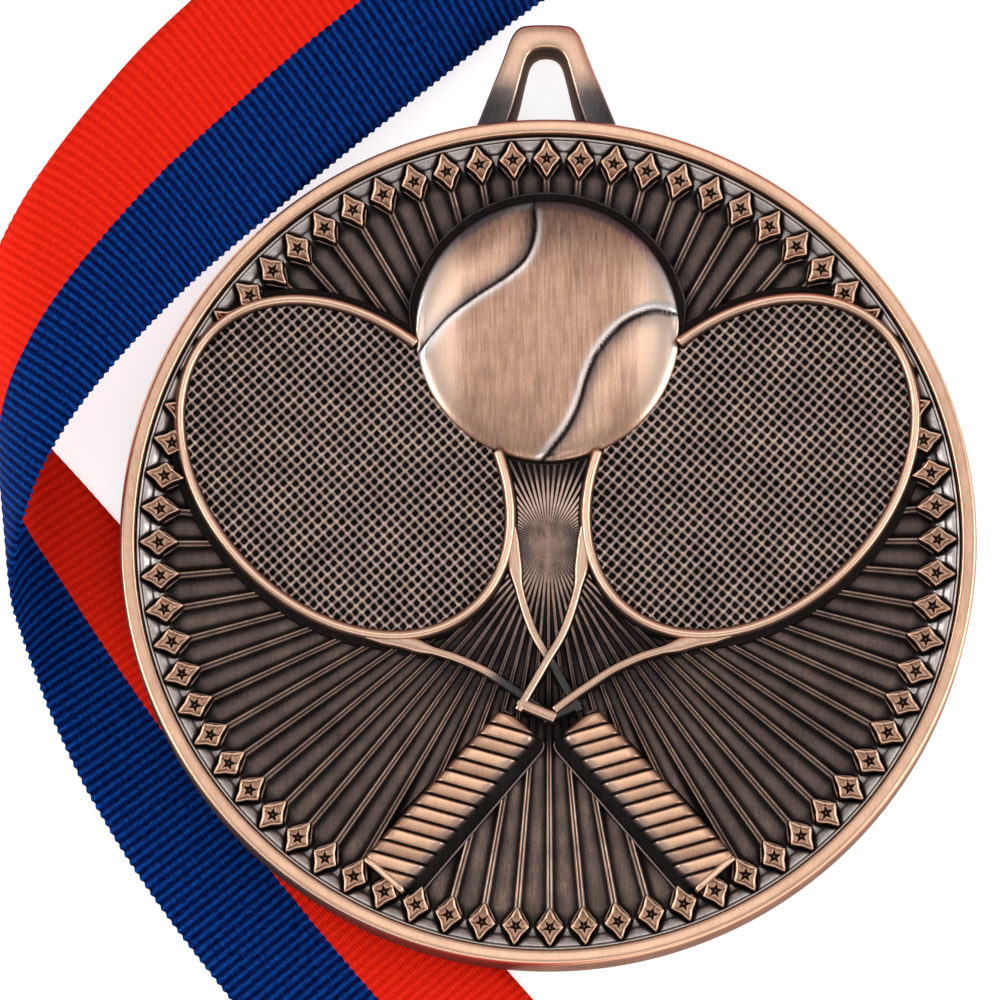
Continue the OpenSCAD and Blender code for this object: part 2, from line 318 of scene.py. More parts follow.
def tubeMesh(name, grid, material, tints, closed=False, sharp=None):
    # rows of the grid are closed rings; the ends are fans to their middles, unless the rows close up too
    rows, cols = grid.shape[:2]
    quads = gridFaces(rows, cols, wrapRows=closed, wrapCols=True)
    points = grid.reshape(-1, 3)
    tris = np.zeros((0, 3), dtype=int)
    if not closed:
        points = np.vstack([points, grid[[0, -1]].mean(axis=1)])
        tris = endFans(rows, cols)
        tints = {key: np.append(value, np.ravel(value)[[0, -1]]) for key, value in tints.items()}
    return putMesh(name, points, quads, tris, material, tints, sharp=sharp)


def turned(points, degrees):
    # flat points turned about the origin
    angle = math.radians(degrees)
    c, s = math.cos(angle), math.sin(angle)
    return points @ np.array([[c, s], [-s, c]])


def mirrored(points, side):
    # side -1 swaps left and right
    out = np.array(points, dtype=float)
    out[..., 0] *= side
    return out


# Antique copper: dark in the recesses, rubbed bright on the edges; the same ramp also carries painted shade
# and painted highlights
copperFinish = {
    # share of brightness -> colour; 0 is the dark patina left in the recesses and painted shade, 1 the rubbed
    # copper and painted highlights
    "stops": [(0.0, (0.008, 0.0065, 0.006)), (0.22, (0.040, 0.026, 0.021)),
              (0.45, (0.150, 0.088, 0.066)), (0.70, (0.46, 0.255, 0.170)), (1.0, (0.86, 0.53, 0.35))],
    "specular": 0.15,
    "edgeTint": (0.80, 0.52, 0.42),   # colour of the metal seen at a glancing angle
    "greyStops": [(0.0, (0.010, 0.010, 0.011)), (0.5, (0.17, 0.165, 0.17)), (1.0, (0.86, 0.82, 0.80))],
    "roughness": [(0.0, 0.50), (0.45, 0.46), (1.0, 0.30)],
    "metallic": [(0.0, 0.55), (0.4, 0.9), (1.0, 1.0)],
    "lineScale": (5200.0, 2500.0),    # brush strokes per metre, across and deep
    "cloudScale": 420.0,
    "grainScale": 6500.0,
    "bump": 0.5,
}
# weight of the brush lines, their scale along the stroke, weight of the clouds, depth of the relief in metres
finishes = {
    "brushedCopper": (0.42, 260.0, 0.22, 0.000022),
    "rubbedCopper": (0.16, 900.0, 0.20, 0.000016),
    "darkCopper": (0.22, 700.0, 0.34, 0.000022),
}


def copperMaterial(name, brush, brushLength, polishNoise, bumpDepth):
    # colour = ramp(wear and painted light + brush lines + cloudy noise), towards the grey ramp where "grey"
    # says so
    material, tree, shader = freshMaterial(name)
    look = copperFinish
    place = newNode(tree, "ShaderNodeTexCoord").outputs["Object"]
    wearAndPaintedLight, grey = [newNode(tree, "ShaderNodeAttribute", attribute_name=key).outputs["Fac"]
                  for key in ("wearAndPaintedLight", "grey")]
    across, deep = look["lineScale"]
    lines = noiseNode(tree, place, (across, brushLength, deep), 3.0, 0.55)    # hair-fine brush strokes
    cloud = noiseNode(tree, place, (look["cloudScale"],) * 3, 4.0, 0.55)      # patches rubbed more or less
    speck = noiseNode(tree, place, (look["grainScale"],) * 3, 2.0, 0.7)       # cast grain
    grain = (speck, polishNoise * 0.8)
    brightness = weightedSum(tree, wearAndPaintedLight, (lines, brush), (cloud, polishNoise), grain, clamp=True)
    warm = rampNode(tree, brightness, look["stops"])
    cool = rampNode(tree, brightness, look["greyStops"])
    mixColours(tree, grey, warm, cool, shader.inputs["Base Color"])
    for key, socket in (("roughness", "Roughness"), ("metallic", "Metallic")):
        level = rampNode(tree, brightness, [(share, (value,) * 3) for share, value in look[key]])
        tree.links.new(level, shader.inputs[socket])
    addBump(tree, shader, weightedSum(tree, lines, (speck, 0.6)), look["bump"], bumpDepth)
    shader.inputs["Specular IOR Level"].default_value = look["specular"]
    shader.inputs["Specular Tint"].default_value = (*look["edgeTint"], 1.0)
    return material


brushedCopper, rubbedCopper, darkCopper = [copperMaterial(key, *facts) for key, facts in finishes.items()]
print("metal finishes made")


# Levels and radii shared by the pieces, from the frame, in millimetres
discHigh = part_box("medal_disc")[1]
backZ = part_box("edge_rim")[0][2] / mm
fieldZ = discHigh[2] / mm
rimInR = discHigh[0] / mm
ballLow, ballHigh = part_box("tennis_ball")
ballR = (ballHigh[0] - ballLow[0]) / 2 / mm
ballY = (ballHigh[1] + ballLow[1]) / 2 / mm
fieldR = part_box("star_lozenges")[1][0] / mm

# The right racket's head: half its length and width, its middle, and its long axis in degrees from +X
headSpec = {"a": 16.2, "b": 12.0, "x": 16.62, "y": 6.18, "turn": 48.0}


def headLocal(points):
    # points in the right head's own axes, along and across, in millimetres from its middle
    return turned(points - np.array([headSpec["x"], headSpec["y"]]), -headSpec["turn"])


def insideHeads(points, grow):
    # above 0 inside either head's ellipse: 1 - (p / a)^2 - (q / b)^2
    out = np.full(points.shape[:-1], -9.0)
    for side in (1, -1):
        local = headLocal(mirrored(points, side))
        long, wide = local[..., 0] / (headSpec["a"] + grow), local[..., 1] / (headSpec["b"] + grow)
        out = np.maximum(out, 1 - long ** 2 - wide ** 2)
    return out


def fromBall(x, y):
    # distance outside the ball's edge
    return np.hypot(x, y - ballY) - ballR


# Ray field: the disc's sunken front with its ribs, its flat back and the seat
rays = {
    "count": 72,
    "ribTop": 0.70,          # above the field
    "ribHalfIn": 0.10,       # half width at the middle
    "ribHalfOut": 0.21,      # half width at the rim
    "lozengeMargin": 0.22,   # dark gap between a lozenge and the raised line round it
    "fluteDepth": 0.85,
    "grooveDepth": 0.14,     # the sunk line along a rib
    "pocketDepth": 0.55,     # round a lozenge
    "lozengeLong": 3.2,
    "lozengeWide": 2.2,
    "scallopLow": 0.35,      # height of a scallop at its inner end
    "scallopRise": 0.75,
    "cutDepth": 0.5,         # between two scallops
    "fluteWear": 0.37,
    "scallopWear": 0.71,
    "scallopGrey": 0.85,
    "bossR": 2.5,            # smooth middle where the rays fade out
    "bossY": -0.6,
    "bossTop": 0.72,
    "seatR": 24.0,
    "seatDepth": 0.3,
    "seatWear": 0.55,
    "underHeads": 0.2,       # height of the field under the string beds
}
headInset = -0.9             # the rays and lozenges stop this far inside a head's outline


def lozengeHalf(r, grow=0.0):
    # half width of a lozenge at radius r: its two sides run in straight lines from tip to widest point
    middle = fieldR - rays["lozengeLong"] / 2
    share = 1 - np.abs(r - middle) / (rays["lozengeLong"] / 2 + grow)
    return np.clip(share, 0, None) * (rays["lozengeWide"] / 2 + grow)


def makeRayField():
    # height = rib top - depth (1 - (1 - u)^4), where u is the share of the way from the side of the rib or
    # of the lozenge to the middle of the flute
    spec = rays
    count = spec["count"]
    step = 2 * math.pi / count
    radii = [np.linspace(1.2, 7.6, 8), np.linspace(8.8, 28.4, 20), np.linspace(28.9, rimInR, 54)]
    radii = np.concatenate(radii)
    onRib = np.array([0.0, 0.34, 0.66, 1.0])
    onFlute = np.array([0.10, 0.32, 0.62, 1.0])
    r = radii[:, None]
    half = r * math.tan(step / 2)
    rib = spec["ribHalfIn"] + (spec["ribHalfOut"] - spec["ribHalfIn"]) * r / 30.0
    rib = np.minimum(rib, half * 0.8)
    lozenge = lozengeHalf(r, spec["lozengeMargin"])
    edge = np.minimum(np.maximum(rib, lozenge), half * 0.95)
    beside = smoothStep(0.0, 0.25, lozenge - rib)            # 1 where the raised lines part round a lozenge
    across = np.concatenate([edge * onRib, edge + (half - edge) * onFlute], axis=1)
    u = np.concatenate([np.zeros((1, 4)), onFlute[None, :]], axis=1) + 0 * r
    ribShare = np.concatenate([onRib[None, :], np.full((1, 4), 9.0)], axis=1) + 0 * r
    middle = fieldR - spec["lozengeLong"] / 2
    depth = spec["fluteDepth"] * np.clip((half - rib) / 0.9, 0.15, 1.0)
    outer = smoothStep(middle - 0.45, middle + 0.05, r)      # 0 on the flutes, 1 on the scallops by the rim
    flute = spec["ribTop"] - depth * (1 - (1 - u) ** 4)
    groove = spec["grooveDepth"] * bell(ribShare, 0.50) * smoothStep(7.0, 13.0, r)
    groove = groove * (1 - beside) + spec["pocketDepth"] * smoothStep(1.0, 0.75, ribShare) * beside
    rise = smoothStep(middle, rimInR - 0.35, r)
    scallop = spec["scallopLow"] + spec["scallopRise"] * rise + 0.15 * smoothStep(32.50, 32.62, r)
    cut = spec["cutDepth"] * bell(u, 0.06)
    z = np.where(ribShare < 2, spec["ribTop"] - groove, flute)
    z = z * (1 - outer) + (scallop - cut) * outer
    z = np.where((ribShare < 0.9) & (outer > 0.3), 0.0, z)
    z = np.where(r > fieldR - 0.05, 0.55 + 0 * z, z)
    plain = smoothStep(13.0, 7.0, r)                         # near the middle the ribs have no sunk line
    onRibs = 0.16 + 0.58 * np.maximum(smoothStep(0.2, 0.66, ribShare), plain)
    onRibs = onRibs - 0.25 * smoothStep(0.8, 1.0, ribShare)
    onLines = 0.70 * smoothStep(0.85, 1.0, ribShare)
    wearAndPaintedLight = onRibs * (1 - beside) + onLines * beside
    grey = np.where(ribShare < 0.5, 0.5, 0.12) + 0 * r
    brown = spec["fluteWear"] * smoothStep(0.15, 0.60, u) * smoothStep(0.25, 0.8, half)
    brown = brown * (1 - 0.8 * smoothStep(middle - 1.6, middle - 0.6, r))
    wearAndPaintedLight = np.where(ribShare < 2, wearAndPaintedLight, 0.02 + brown)
    grey = np.where(ribShare < 2, grey, 0.30)
    scallopWear = spec["scallopWear"] + 0.10 * rise - 0.20 * bell(u, 0.08) - 0.30 * bell(r - 32.56, 0.06)
    wearAndPaintedLight = wearAndPaintedLight * (1 - outer) + np.clip(scallopWear, 0, 1) * outer
    grey = grey * (1 - outer) + spec["scallopGrey"] * outer
    wearAndPaintedLight = np.where(r > fieldR - 0.02, 0.0, wearAndPaintedLight)
    # mirror each half sector about its rib, then repeat round the disc
    full = np.concatenate([-across[:, :0:-1], across[:, :-1]], axis=1)
    angle = np.arctan2(full, np.broadcast_to(r, full.shape))
    ring = (np.arange(count) * step)[None, :, None] + angle[:, None, :]
    ring = ring.reshape(len(radii), -1)
    around = ring.shape[1]

    def repeat(values):
        values = np.broadcast_to(values, across.shape)
        both = np.concatenate([values[:, :0:-1], values[:, :-1]], axis=1)
        return np.tile(both, (1, count))

    z, wearAndPaintedLight, grey = repeat(z), repeat(wearAndPaintedLight), repeat(grey)
    flat = polar(r, ring)
    x, y = flat[..., 0], flat[..., 1]
    boss = smoothStep(spec["bossR"] + 0.9, spec["bossR"] - 0.5, np.hypot(x, y - spec["bossY"]))
    z = z * (1 - boss) + boss * (spec["bossTop"] + 0.20 * (1 - (r / 4.0) ** 2))
    # painted shade: the boss darkens and greys towards its left and right sides
    bossWearAndShade = 0.54 - 0.16 * smoothStep(0.5, 2.4, np.abs(x)) + 0.05 * np.cos(5.0 * x)
    wearAndPaintedLight = wearAndPaintedLight * (1 - boss) + bossWearAndShade * boss
    grey = grey * (1 - boss) + boss * (0.25 + 0.3 * smoothStep(1.0, 2.4, np.abs(x)))
    low = smoothStep(-10.0, -25.0, y) * bell(x, 12.0)        # the flutes low on the disc are made lighter
    wearAndPaintedLight = wearAndPaintedLight + 0.08 * low * smoothStep(middle, middle - 1.0, r)
    # painted shade: the rays darken towards the ball's edge
    wearAndPaintedLight = wearAndPaintedLight * (0.35 + 0.65 * smoothStep(0.3, 2.4, fromBall(x, y)))
    # painted shade on the rays between the hoops and the throat arms
    wearAndPaintedLight = wearAndPaintedLight * (1 - 0.30 * smoothStep(-2.5, -5.0, y) * smoothStep(17.0, 12.0, r))
    # painted shade round the crossing of the two rackets
    wearAndPaintedLight = wearAndPaintedLight * smoothStep(0.3, 1.3, np.hypot((x - 0.3) / 3.0, (y + 14.9) / 2.3))   # dark by the crossing
    z = fieldZ + z
    z = np.where(insideHeads(flat, headInset) > 0, np.minimum(z, fieldZ + spec["underHeads"]), z)
    seatZ = backZ + spec["seatDepth"]
    lower = [(rimInR, backZ), (spec["seatR"], backZ), (spec["seatR"], seatZ), (2.0, seatZ)]
    below = [lifted(polar(q, ring[-1]), np.full(around, h)) for q, h in lower]
    points = np.concatenate([lifted(flat, z), np.stack(below)])
    rows = len(points)
    back = np.ones((len(lower), around))
    wearAndPaintedLight = np.vstack([wearAndPaintedLight, spec["seatWear"] * back])
    grey = np.vstack([grey, 0.2 * back])
    points = np.vstack([points.reshape(-1, 3), [[0, 0, fieldZ + 0.92], [0, 0, seatZ]]])
    tints = {"wearAndPaintedLight": np.append(wearAndPaintedLight, [0.58, 0.5]), "grey": np.append(grey, [0.25, 0.2])}
    quads = gridFaces(rows, around, wrapCols=True)
    return putMesh("rayField", points, quads, endFans(rows, around), darkCopper, tints)


rayField = makeRayField()
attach(rayField, "medal")
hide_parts("medal_disc", "ray_ribs", "centre_boss")
print("ray field made")


# Star lozenges at the outer ends of the rays
lozenges = {
    "top": 1.6,
    "face": 1.36,
    "starR": 0.62,
    "starIn": 0.42,      # inner corners, as a share of the star's radius
    "starDepth": 0.34,
    "bow": 0.10,         # share by which the sides bow inwards
    "fold": 0.07,        # extra height along the long axis
    "around": 40,
}


def starRadius(angle):
    # five points: straight sides between tips at 1 and inner corners at starIn
    turn = np.mod(angle, 2 * math.pi / 5)
    turn = np.minimum(turn, 2 * math.pi / 5 - turn)
    a = math.pi / 5
    k = lozenges["starIn"]
    return k * math.sin(a) / (k * math.sin(a) * np.cos(turn) + (1 - k * math.cos(a)) * np.sin(turn))


def makeLozenges():
    # rings from a diamond |x| / a + |y| / b = 1 in to a star-shaped pocket, then a copy for each ray
    spec = lozenges
    around = spec["around"]
    angle = circleAngles(around)
    circle = polar(1.0, angle)
    half = np.array([rays["lozengeLong"] / 2, rays["lozengeWide"] / 2])
    bow = 1 - spec["bow"] * np.sin(2 * angle)[:, None] ** 2
    diamond = circle * half / np.abs(circle).sum(axis=-1)[:, None] * bow
    star = circle * starRadius(angle)[:, None] * spec["starR"]
    top, face, depth = spec["top"], spec["face"], spec["starDepth"]
    # share of the diamond, share of the star, height, wear
    rings = np.array([(1.04, 0, 0, 0), (1.03, 0, 1.2, 0.1), (0.99, 0, top - 0.06, 0.9), (0.94, 0, top, 1.0),
                      (0.86, 0, top, 0.95), (0.76, 0, face, 0.55), (0, 1.25, face + 0.02, 0.82),
                      (0, 1.02, face, 0.5), (0, 0.72, face - depth, 0),
                      (0, 0.30, face - depth * 0.6, 0.25)])
    shape = diamond * rings[:, 0, None, None] + star * rings[:, 1, None, None]
    height = rings[:, 2, None] + 0 * angle
    fold = spec["fold"] * (1 - np.abs(shape[..., 1]) / half[1])
    height = np.append(height + np.where(height > 0.5, fold, 0.0), face - 0.05)
    wearAndPaintedLight = np.append(rings[:, 3, None] + 0 * angle, 0.7)
    shape = np.vstack([shape.reshape(-1, 2), [[0, 0]]])
    quads = gridFaces(len(rings), around, wrapCols=True)
    tris = fanFaces((len(rings) - 1) * around + np.arange(around), len(shape) - 1)
    turns = circleAngles(rays["count"])
    middle = fieldR - rays["lozengeLong"] / 2
    turns = turns[insideHeads(polar(middle, turns), headInset) < 0]
    c, s = np.cos(turns)[:, None], np.sin(turns)[:, None]
    x = middle + shape[None, :, 0]
    y = shape[None, :, 1]
    flat = np.stack([x * c - y * s, x * s + y * c], axis=-1)
    z = np.broadcast_to(height, flat.shape[:2]).copy()
    z = np.where(insideHeads(flat, -0.3) > 0, np.minimum(z, 0.4), z)
    points = lifted(flat, fieldZ + z).reshape(-1, 3)
    shift = (np.arange(len(turns)) * len(shape))[:, None, None]
    grey = np.where(wearAndPaintedLight > 0.9, 0.10, 0.0)
    tints = {"wearAndPaintedLight": np.tile(wearAndPaintedLight, len(turns)), "grey": np.tile(grey, len(turns))}
    return putMesh("starLozenges", points, quads[None] + shift, (tris[None] + shift).reshape(-1, 3),
                   rubbedCopper, tints, closed=False)


starLozenges = makeLozenges()
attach(starLozenges, "medal")
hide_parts("star_lozenges")
print("lozenges made")


# Rim, and the thin bead ring inside it
rim = {
    "around": 480,
    # radius from the rim's inner wall, height above the back, wear; runs round the section
    "profile": [(0.0, 0.0, .4), (0.0, 4.60, .10), (0.02, 4.80, .5), (0.06, 4.98, 1.1), (0.12, 5.07, 1.1),
                (0.20, 5.12, .90), (0.42, 5.16, .88), (0.74, 5.175, .90), (0.96, 5.16, .92),
                (1.07, 5.11, 1.0), (1.16, 4.98, 1.0), (1.22, 4.80, .75), (1.25, 4.55, .55),
                (1.25, 2.6, .48), (1.25, 0.45, .45), (1.20, 0.20, .5), (1.02, 0.05, .6), (0.85, 0.0, .5)],
    "grey": 0.05,
    "rubbed": 0.07,      # how much brighter the top and bottom are than the sides
}
bead = {
    "around": 360,
    "grey": 0.75,
    "rubbed": 0.0,
    "profile": [(-0.36, -0.2, 0.), (-0.35, 0.9, .5), (-0.29, 1.22, .8), (-0.18, 1.30, .85),
                (-0.07, 1.26, .7), (-0.03, 1.0, 0.), (0.0, 0.9, 0.), (0.0, -0.2, 0.)],
}


def makeRing(name, spec, radius, base, material, waver):
    # the profile turned about the medal's axis, with a slow waver in its height
    shape = np.array(spec["profile"])
    angle = circleAngles(spec["around"])[:, None]
    lift = waver * (np.sin(7 * angle) + 0.6 * np.sin(17 * angle + 1.0))
    z = base + shape[None, :, 1] + np.where(shape[None, :, 1] > 1.1, lift, 0.0)
    grid = lifted(polar(radius + shape[None, :, 0], angle), z)
    rubbed = spec["rubbed"] * (np.abs(np.sin(angle)) - np.abs(np.cos(angle)))
    wearAndPaintedLight = shape[None, :, 2] + rubbed * (shape[None, :, 1] > 4.7)
    return tubeMesh(name, grid, material, {"wearAndPaintedLight": wearAndPaintedLight, "grey": 0 * wearAndPaintedLight + spec["grey"]}, closed=True)


edgeRim = makeRing("edgeRim", rim, rimInR, backZ, rubbedCopper, 0.004)
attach(edgeRim, "medal")
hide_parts("edge_rim")
beadRing = makeRing("beadRing", bead, rimInR, fieldZ, rubbedCopper, 0.01)
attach(beadRing, "medal")
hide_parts("bead_ring")
print("rim made")


# Hanger loop
hanger = {
    # half outlines of the front face, from the rim to the top: outer edge, edge of the hole
    "outer": [(6.10, 33.75), (5.68, 34.77), (5.09, 36.24), (4.50, 37.77), (3.91, 39.24), (3.37, 40.65),
              (3.04, 41.6), (2.68, 42.33), (2.2, 42.84), (1.5, 43.04), (0.0, 43.1)],
    "inner": [(3.60, 33.75), (3.20, 34.95), (2.68, 36.54), (2.28, 38.0), (1.93, 39.3), (1.65, 40.2),
              (1.38, 40.68), (1.0, 41.0), (0.55, 41.17), (0.25, 41.21), (0.0, 41.22)],
    # share of the way from the outer edge to the hole's edge, height above the loop's back, wear, grey
    "section": [(0.02, 0.0, -.3, 0.), (1.22, 0.0, -.3, 0.), (1.24, 0.12, -.5, 0.), (1.17, 1.2, -.9, 0.),
                (1.09, 2.3, -.9, 0.), (1.02, 2.86, -.4, 0.), (0.97, 3.05, .40, -.2), (0.90, 3.13, .12, 0.),
                (0.5, 3.19, 0., 0.), (0.10, 3.15, 0., 0.), (0.04, 3.05, .25, 0.), (0.0, 2.88, .05, .2),
                (-0.01, 2.5, -.35, .3), (-0.01, 0.3, -.35, .2)],
    "steps": 110,
    "brightening": (35.9, 39.8),   # the leg turns from dark grey to bright copper between these heights
}


def makeHanger():
    # point (i, k) lies at share k of the way from step i of the outer edge to step i of the hole's edge
    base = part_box("hanger_loop")[0][2] / mm
    section = np.array(hanger["section"])
    edges = []
    for key in ("outer", "inner"):
        half = mirrored(hanger[key], -1)
        whole = np.vstack([half, mirrored(half[-2::-1], -1)])
        edges.append(evenPath(curveThrough(whole, 600), hanger["steps"]))
    outer, inner = edges[0][:, None, :], edges[1][:, None, :]
    flat = outer + (inner - outer) * section[None, :, 0, None]
    z = base + section[None, :, 1] + 0 * flat[..., 0]
    brightness = smoothStep(*hanger["brightening"], flat[..., 1])
    wearAndPaintedLight = np.clip(0.20 + 0.68 * brightness + section[None, :, 2], 0.0, 1.1)
    grey = np.clip(0.10 + 0.65 * (1 - brightness) + section[None, :, 3], 0.0, 1.0)
    return tubeMesh("hangerLoop", lifted(flat, z), rubbedCopper, {"wearAndPaintedLight": wearAndPaintedLight, "grey": grey}, sharp=60)


hangerLoop = makeHanger()
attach(hangerLoop, "medal")
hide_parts("hanger_loop")
print("hanger made")


# Tennis ball
ball = {
    "wall": 0.85,
    "dome": 1.73,
    "flatness": 2.1,
    # from the ball's middle; the ball's own middle part lies on the left of each curve
    "seamLeft": [(-0.95, 11.4), (-0.97, 10.3), (-0.92, 8.4), (-1.3, 6.7), (-2.1, 5.4), (-3.66, 4.1),
                 (-5.85, 2.7), (-8.2, 0.94), (-9.76, -0.8), (-10.6, -1.9)],
    "seamRight": [(11.4, 1.0), (10.4, 1.4), (8.7, 1.6), (6.67, 0.77), (5.1, -0.65), (3.85, -2.4),
                  (3.07, -4.3), (2.44, -6.4), (1.5, -8.3), (0.25, -9.9), (-0.7, -11.0)],
    "lip": 0.10,
    "dip": 0.55,
    "dipReach": 1.2,
    "wearAndPaintedLight": 0.72,
    "seamDark": 0.95,
    "around": 440,
}


def besideCurve(points, curve):
    # distance from the curve, above 0 on its left; the nearest of 260 curve points gives the side
    path = curveThrough(curve, 260)
    ahead = np.gradient(path, axis=0)
    ahead /= np.linalg.norm(ahead, axis=1)[:, None]
    out = np.zeros(len(points))
    for part in np.array_split(np.arange(len(points)), 12):
        gap = points[part][:, None, :] - path[None, :, :]
        nearest = np.argmin((gap ** 2).sum(axis=-1), axis=1)
        off = gap[np.arange(len(part)), nearest]
        along = ahead[nearest]
        side = along[:, 0] * off[:, 1] - along[:, 1] * off[:, 0]
        out[part] = np.sign(side) * np.linalg.norm(off, axis=1)
    return out


def makeBall():
    # height = wall + dome (1 - (r / R)^p)^0.5; each seam has a lip on its middle side and a dip beyond it
    spec = ball
    around = spec["around"]
    radii = ballR * np.sin(np.linspace(0.012, 1.0, 104) * math.pi / 2) ** 0.92
    angle = circleAngles(around)
    r = radii[:, None] + 0 * angle
    flat = polar(r, angle)
    share, high = r / ballR, flat[..., 1]
    aside = np.abs(flat[..., 0]) / ballR
    z = spec["wall"] + spec["dome"] * np.clip(1 - share ** spec["flatness"], 0, 1) ** 0.5
    wearAndPaintedLight = spec["wearAndPaintedLight"] + 0 * r
    # painted highlight: the ball's left and right sides are greyed towards white
    grey = 0.08 + 0.35 * smoothStep(0.55, 1.0, aside) * smoothStep(9.0, 5.0, high)
    fade = smoothStep(1.0, 0.93, share)
    for curve, sign in ((spec["seamLeft"], 1), (spec["seamRight"], -1)):
        d = (sign * besideCurve(flat.reshape(-1, 2), curve)).reshape(r.shape)
        beyond = d < 0
        dip = -spec["dip"] * np.exp(d / spec["dipReach"])
        z = z + fade * np.where(beyond, dip, spec["lip"] * bell(d - 0.22, 0.38))
        # painted shade in the dip beyond each seam with painted light a little further out, and a painted
        # highlight, bright and grey, along the lip
        shade = 0.14 * bell(d + 2.0, 1.2) - 0.30 * np.exp(d / 0.45)
        wearAndPaintedLight = wearAndPaintedLight - spec["seamDark"] * bell(d + 0.05, 0.115)
        wearAndPaintedLight = wearAndPaintedLight + np.where(beyond, shade, 0.20 * bell(d - 0.3, 0.26))
        grey = grey + np.where(beyond, 0.55 * np.exp(d / 0.5), 0.75 * bell(d - 0.32, 0.28))
    # painted shade: the ball's upper middle is darker
    wearAndPaintedLight = wearAndPaintedLight - 0.20 * smoothStep(2.0, 9.0, high) * smoothStep(0.3, 0.9, share) * (1 - aside)
    # painted highlight: the ball's left and right sides are brighter
    wearAndPaintedLight = wearAndPaintedLight + 0.55 * smoothStep(0.55, 0.92, aside)
    # painted shade along the ball's upper edge, dark and grey
    topEdge = smoothStep(0.90, 0.97, share) * smoothStep(-2.0, 3.0, high)
    grey = np.maximum(grey, 0.85 * topEdge)
    wearAndPaintedLight = wearAndPaintedLight * (1 - 0.35 * topEdge)
    sunk = -0.3                  # the wall's foot, below the field
    grid = np.concatenate([lifted(flat, z), lifted(flat[-1:], np.full((1, around), sunk))])
    grid += np.array([0, ballY, fieldZ])
    rows = len(grid)
    ends = [[0, ballY, grid[0, :, 2].mean()], [0, ballY, fieldZ + sunk]]
    wearAndPaintedLight = np.concatenate([wearAndPaintedLight.ravel(), np.full(around, 0.05), [0.8, 0.0]])
    grey = np.append(grey, np.zeros(around + 2))
    tints = {"wearAndPaintedLight": np.clip(wearAndPaintedLight, 0, 1.1), "grey": np.clip(grey, 0, 1)}
    points = np.vstack([grid.reshape(-1, 3), ends])
    quads = gridFaces(rows, around, wrapCols=True)
    return putMesh("tennisBall", points, quads, endFans(rows, around), brushedCopper, tints)


# The dark ring that the ball sits in: painted shade in the gap round the ball
moat = {
    # distance outside the ball, height above the field, wear, grey
    "profile": [(-0.25, -0.2, 0., 0.), (-0.25, 0.55, 0., 0.), (0.0, 0.72, 0., 0.), (0.25, 0.73, 0., 0.),
                (0.60, 0.74, 0., 0.), (0.70, 0.80, .22, .7), (0.77, 0.76, .1, .7), (0.80, 0.3, 0., 0.),
                (0.80, -0.2, 0., 0.)],
    "narrow": 0.35,      # share of its width that is left below the ball's middle
    "around": 300,
}


def makeMoat():
    # a black ring of painted shade in the gap round the ball, with a thin lip where the ribs end
    shape = np.array(moat["profile"])
    angle = circleAngles(moat["around"])[:, None]
    width = moat["narrow"] + (1 - moat["narrow"]) * smoothStep(-0.05, 0.25, np.sin(angle))
    r = ballR + shape[None, :, 0] * width
    grid = lifted(polar(r, angle), fieldZ + shape[None, :, 1] + 0 * r)
    grid[..., 1] += ballY
    tints = {"wearAndPaintedLight": shape[None, :, 2] + 0 * angle, "grey": shape[None, :, 3] + 0 * angle}
    return tubeMesh("ballMoat", grid, darkCopper, tints, closed=True)


tennisBall = makeBall()
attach(tennisBall, "medal")
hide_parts("tennis_ball")
ballMoat = makeMoat()
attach(ballMoat, "medal")
print("ball made")


# Racket hoops
hoop = {
    "steps": 340,
    "ballGap": -0.35,    # the hoop runs this far under the ball
    # outwards from the head's outline, height above the field, wear; the black strip outside the hoop is
    # painted shade
    "profile": [(-1.00, 0.10, 0.), (-1.00, 0.90, 0.), (-0.93, 1.38, .45), (-0.76, 1.66, .88),
                (-0.52, 1.78, 1.0), (-0.28, 1.72, .98), (-0.10, 1.42, .60), (0.00, 0.84, .05),
                (0.10, 0.76, 0.), (0.36, 0.76, 0.), (0.52, 0.75, 0.), (0.58, 0.30, 0.), (0.58, 0.10, 0.)],
}


def headPath(side, grow, steps):
    # the head's outline from throat end round to throat end, dropped where the ball covers it
    angle = np.linspace(0, 2 * math.pi, 1441)
    ring = polar(1.0, angle) * np.array([headSpec["a"] + grow, headSpec["b"] + grow])
    ring = turned(ring, headSpec["turn"]) + np.array([headSpec["x"], headSpec["y"]])
    clear = fromBall(ring[:, 0], ring[:, 1]) > hoop["ballGap"]
    ring, clear = ring[:-1], clear[:-1]
    first = np.flatnonzero(clear & ~np.roll(clear, 1))[0]
    ring = np.roll(ring, -first, axis=0)[: clear.sum()]
    return mirrored(evenPath(ring, steps), side)


def makeHoop(name, side):
    # the hoop's profile carried along the head's outline
    shape = np.array(hoop["profile"])
    path = headPath(side, 0.0, hoop["steps"])
    grid = sweepProfile(path, shape * np.array([side, 1.0, 1.0]), base=fieldZ)
    # the dark strip beside the hoop, painted shade, is sunk between the heads and where the throat arms leave
    aside = np.abs(path[:, 0])
    byArm = smoothStep(14.5, 13.0, aside) * smoothStep(0.0, -2.0, path[:, 1])
    sunk = np.maximum(smoothStep(6.5, 4.5, aside), byArm)[:, None] * (shape[None, :, 0] > 0.1)
    grid[..., 2] -= 0.6 * sunk * shape[None, :, 1]
    wearAndPaintedLight = shape[None, :, 2] + 0 * path[:, :1]
    return tubeMesh(name, grid, rubbedCopper, {"wearAndPaintedLight": wearAndPaintedLight, "grey": 0.12 + 0 * wearAndPaintedLight})


for side, hoopName, nodeName in ((-1, "leftHoop", "left_hoop"), (1, "rightHoop", "right_hoop")):
    hoopPiece = makeHoop(hoopName, side)
    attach(hoopPiece, "medal")
    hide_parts(nodeName)
print("hoops made")


